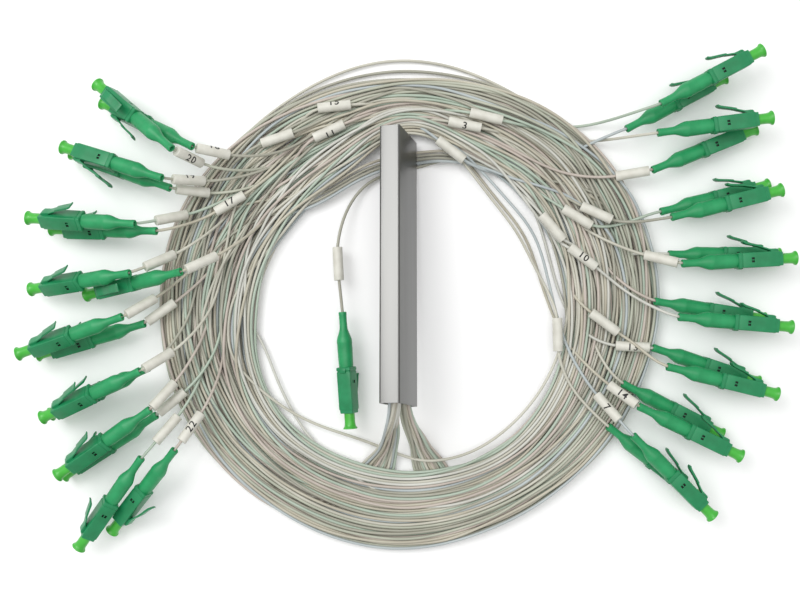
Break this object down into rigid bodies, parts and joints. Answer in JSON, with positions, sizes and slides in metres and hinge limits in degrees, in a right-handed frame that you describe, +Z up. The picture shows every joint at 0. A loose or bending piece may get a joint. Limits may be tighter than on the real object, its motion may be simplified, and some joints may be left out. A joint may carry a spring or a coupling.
{
  "type": "plc fibre splitter",
  "caption": "Slim metal tube fibre splitter; one input and many output cords wound in a flat coil, each ending in a green angled connector with a pull-off dust cap.",
  "frame": {"origin": "middle of the bottom of the metal tube's bounding box, on the surface that the splitter lies on", "axes": "+Z up, +Y along the tube towards its input end, +X to the right"},
  "size_m": [0.2325, 0.1528, 0.0325],
  "materials": {
    "satin_steel": "satin",
    "black_plastic": "matte",
    "clear_resin": "satin",
    "bed_glass": "polished",
    "chip_silica": "polished",
    "bare_fibre": "satin",
    "cord_jacket": "satin",
    "marker_plastic": "satin",
    "boot_green": "satin",
    "housing_green": "semi-gloss",
    "zirconia": "polished",
    "cap_lime": "satin"
  },
  "bodies": {
    "splitter": {"chip_bed": "bed_glass", "chip_lid": "chip_silica", "fibre_coil": "cord_jacket", "input_bare_fibre": "bare_fibre", "input_boot": "boot_green", "input_end_plug": "black_plastic", "input_ferrule": "zirconia", "input_fibre_block": "bed_glass", "input_housing": "housing_green", "input_lead": "cord_jacket", "input_tail": "cord_jacket", "marker_sleeves": "marker_plastic", "output_boots": "boot_green", "output_bunch_left": "cord_jacket", "output_bunch_right": "cord_jacket", "output_end_potting": "clear_resin", "output_ferrules": "zirconia", "output_fibre_block": "bed_glass", "output_housings": "housing_green", "output_ribbons": "bare_fibre", "output_tails_left": "cord_jacket", "output_tails_right": "cord_jacket", "splitter_tube": "satin_steel", "waveguide_chip": "chip_silica"},
    "input_cap_body": {"input_cap": "cap_lime"},
    "output_cap_01_body": {"output_cap_01": "cap_lime"},
    "output_cap_02_body": {"output_cap_02": "cap_lime"},
    "output_cap_03_body": {"output_cap_03": "cap_lime"},
    "output_cap_04_body": {"output_cap_04": "cap_lime"},
    "output_cap_05_body": {"output_cap_05": "cap_lime"},
    "output_cap_06_body": {"output_cap_06": "cap_lime"},
    "output_cap_07_body": {"output_cap_07": "cap_lime"},
    "output_cap_08_body": {"output_cap_08": "cap_lime"},
    "output_cap_09_body": {"output_cap_09": "cap_lime"},
    "output_cap_10_body": {"output_cap_10": "cap_lime"},
    "output_cap_11_body": {"output_cap_11": "cap_lime"},
    "output_cap_12_body": {"output_cap_12": "cap_lime"},
    "output_cap_13_body": {"output_cap_13": "cap_lime"},
    "output_cap_14_body": {"output_cap_14": "cap_lime"},
    "output_cap_15_body": {"output_cap_15": "cap_lime"},
    "output_cap_16_body": {"output_cap_16": "cap_lime"},
    "output_cap_17_body": {"output_cap_17": "cap_lime"},
    "output_cap_18_body": {"output_cap_18": "cap_lime"},
    "output_cap_19_body": {"output_cap_19": "cap_lime"},
    "output_cap_20_body": {"output_cap_20": "cap_lime"},
    "output_cap_21_body": {"output_cap_21": "cap_lime"},
    "output_cap_22_body": {"output_cap_22": "cap_lime"},
    "output_cap_23_body": {"output_cap_23": "cap_lime"},
    "output_cap_24_body": {"output_cap_24": "cap_lime"},
    "output_cap_25_body": {"output_cap_25": "cap_lime"},
    "output_cap_26_body": {"output_cap_26": "cap_lime"},
    "output_cap_27_body": {"output_cap_27": "cap_lime"},
    "output_cap_28_body": {"output_cap_28": "cap_lime"},
    "output_cap_29_body": {"output_cap_29": "cap_lime"},
    "output_cap_30_body": {"output_cap_30": "cap_lime"},
    "output_cap_31_body": {"output_cap_31": "cap_lime"},
    "output_cap_32_body": {"output_cap_32": "cap_lime"}
  },
  "joints": [
    {"name": "input_cap_pull", "type": "slide", "parent": "splitter", "child": "input_cap_body", "axis": [0.0697, -0.9972, 0.0262], "range_m": [0, 0.007]},
    {"name": "output_cap_01_pull", "type": "slide", "parent": "splitter", "child": "output_cap_01_body", "axis": [0.8808, 0.4683, -0.0698], "range_m": [0, 0.007]},
    {"name": "output_cap_02_pull", "type": "slide", "parent": "splitter", "child": "output_cap_02_body", "axis": [0.8764, 0.466, -0.1219], "range_m": [0, 0.007]},
    {"name": "output_cap_03_pull", "type": "slide", "parent": "splitter", "child": "output_cap_03_body", "axis": [0.9879, 0.1388, -0.0698], "range_m": [0, 0.007]},
    {"name": "output_cap_04_pull", "type": "slide", "parent": "splitter", "child": "output_cap_04_body", "axis": [0.9203, 0.3718, -0.1219], "range_m": [0, 0.007]},
    {"name": "output_cap_05_pull", "type": "slide", "parent": "splitter", "child": "output_cap_05_body", "axis": [0.965, 0.2406, -0.1045], "range_m": [0, 0.007]},
    {"name": "output_cap_06_pull", "type": "slide", "parent": "splitter", "child": "output_cap_06_body", "axis": [0.9631, 0.2401, -0.1219], "range_m": [0, 0.007]},
    {"name": "output_cap_07_pull", "type": "slide", "parent": "splitter", "child": "output_cap_07_body", "axis": [0.7032, -0.7032, -0.1045], "range_m": [0, 0.007]},
    {"name": "output_cap_08_pull", "type": "slide", "parent": "splitter", "child": "output_cap_08_body", "axis": [0.9932, 0.052, -0.1045], "range_m": [0, 0.007]},
    {"name": "output_cap_09_pull", "type": "slide", "parent": "splitter", "child": "output_cap_09_body", "axis": [0.9925, 0, -0.1219], "range_m": [0, 0.007]},
    {"name": "output_cap_10_pull", "type": "slide", "parent": "splitter", "child": "output_cap_10_body", "axis": [0.9907, -0.0867, -0.1045], "range_m": [0, 0.007]},
    {"name": "output_cap_11_pull", "type": "slide", "parent": "splitter", "child": "output_cap_11_body", "axis": [0.9803, -0.1553, -0.1219], "range_m": [0, 0.007]},
    {"name": "output_cap_12_pull", "type": "slide", "parent": "splitter", "child": "output_cap_12_body", "axis": [0.965, -0.2406, -0.1045], "range_m": [0, 0.007]},
    {"name": "output_cap_13_pull", "type": "slide", "parent": "splitter", "child": "output_cap_13_body", "axis": [0.944, -0.3067, -0.1219], "range_m": [0, 0.007]},
    {"name": "output_cap_14_pull", "type": "slide", "parent": "splitter", "child": "output_cap_14_body", "axis": [0.8939, -0.436, -0.1045], "range_m": [0, 0.007]},
    {"name": "output_cap_15_pull", "type": "slide", "parent": "splitter", "child": "output_cap_15_body", "axis": [0.8844, -0.4506, -0.1219], "range_m": [0, 0.007]},
    {"name": "output_cap_16_pull", "type": "slide", "parent": "splitter", "child": "output_cap_16_body", "axis": [0.7821, -0.6111, -0.1219], "range_m": [0, 0.007]},
    {"name": "output_cap_17_pull", "type": "slide", "parent": "splitter", "child": "output_cap_17_body", "axis": [-0.9653, 0.0337, -0.2588], "range_m": [0, 0.007]},
    {"name": "output_cap_18_pull", "type": "slide", "parent": "splitter", "child": "output_cap_18_body", "axis": [-0.8373, 0.4266, -0.342], "range_m": [0, 0.007]},
    {"name": "output_cap_19_pull", "type": "slide", "parent": "splitter", "child": "output_cap_19_body", "axis": [-0.9095, 0.2955, -0.2924], "range_m": [0, 0.007]},
    {"name": "output_cap_20_pull", "type": "slide", "parent": "splitter", "child": "output_cap_20_body", "axis": [-0.7103, 0.596, -0.3746], "range_m": [0, 0.007]},
    {"name": "output_cap_21_pull", "type": "slide", "parent": "splitter", "child": "output_cap_21_body", "axis": [-0.9077, 0.3304, -0.2588], "range_m": [0, 0.007]},
    {"name": "output_cap_22_pull", "type": "slide", "parent": "splitter", "child": "output_cap_22_body", "axis": [-0.6018, -0.7432, -0.2924], "range_m": [0, 0.007]},
    {"name": "output_cap_23_pull", "type": "slide", "parent": "splitter", "child": "output_cap_23_body", "axis": [-0.9679, 0.0677, -0.2419], "range_m": [0, 0.007]},
    {"name": "output_cap_24_pull", "type": "slide", "parent": "splitter", "child": "output_cap_24_body", "axis": [-0.9305, -0.1308, -0.342], "range_m": [0, 0.007]},
    {"name": "output_cap_25_pull", "type": "slide", "parent": "splitter", "child": "output_cap_25_body", "axis": [-0.8936, -0.1899, -0.4067], "range_m": [0, 0.007]},
    {"name": "output_cap_26_pull", "type": "slide", "parent": "splitter", "child": "output_cap_26_body", "axis": [-0.5789, -0.7967, -0.1736], "range_m": [0, 0.007]},
    {"name": "output_cap_27_pull", "type": "slide", "parent": "splitter", "child": "output_cap_27_body", "axis": [-0.9312, -0.3206, -0.1736], "range_m": [0, 0.007]},
    {"name": "output_cap_28_pull", "type": "slide", "parent": "splitter", "child": "output_cap_28_body", "axis": [-0.9541, -0.2736, -0.1219], "range_m": [0, 0.007]},
    {"name": "output_cap_29_pull", "type": "slide", "parent": "splitter", "child": "output_cap_29_body", "axis": [-0.8831, -0.4118, -0.225], "range_m": [0, 0.007]},
    {"name": "output_cap_30_pull", "type": "slide", "parent": "splitter", "child": "output_cap_30_body", "axis": [-0.8897, -0.4149, -0.1908], "range_m": [0, 0.007]},
    {"name": "output_cap_31_pull", "type": "slide", "parent": "splitter", "child": "output_cap_31_body", "axis": [-0.8147, -0.5704, -0.1045], "range_m": [0, 0.007]},
    {"name": "output_cap_32_pull", "type": "slide", "parent": "splitter", "child": "output_cap_32_body", "axis": [-0.8324, -0.5406, -0.1219], "range_m": [0, 0.007]}
  ]
}
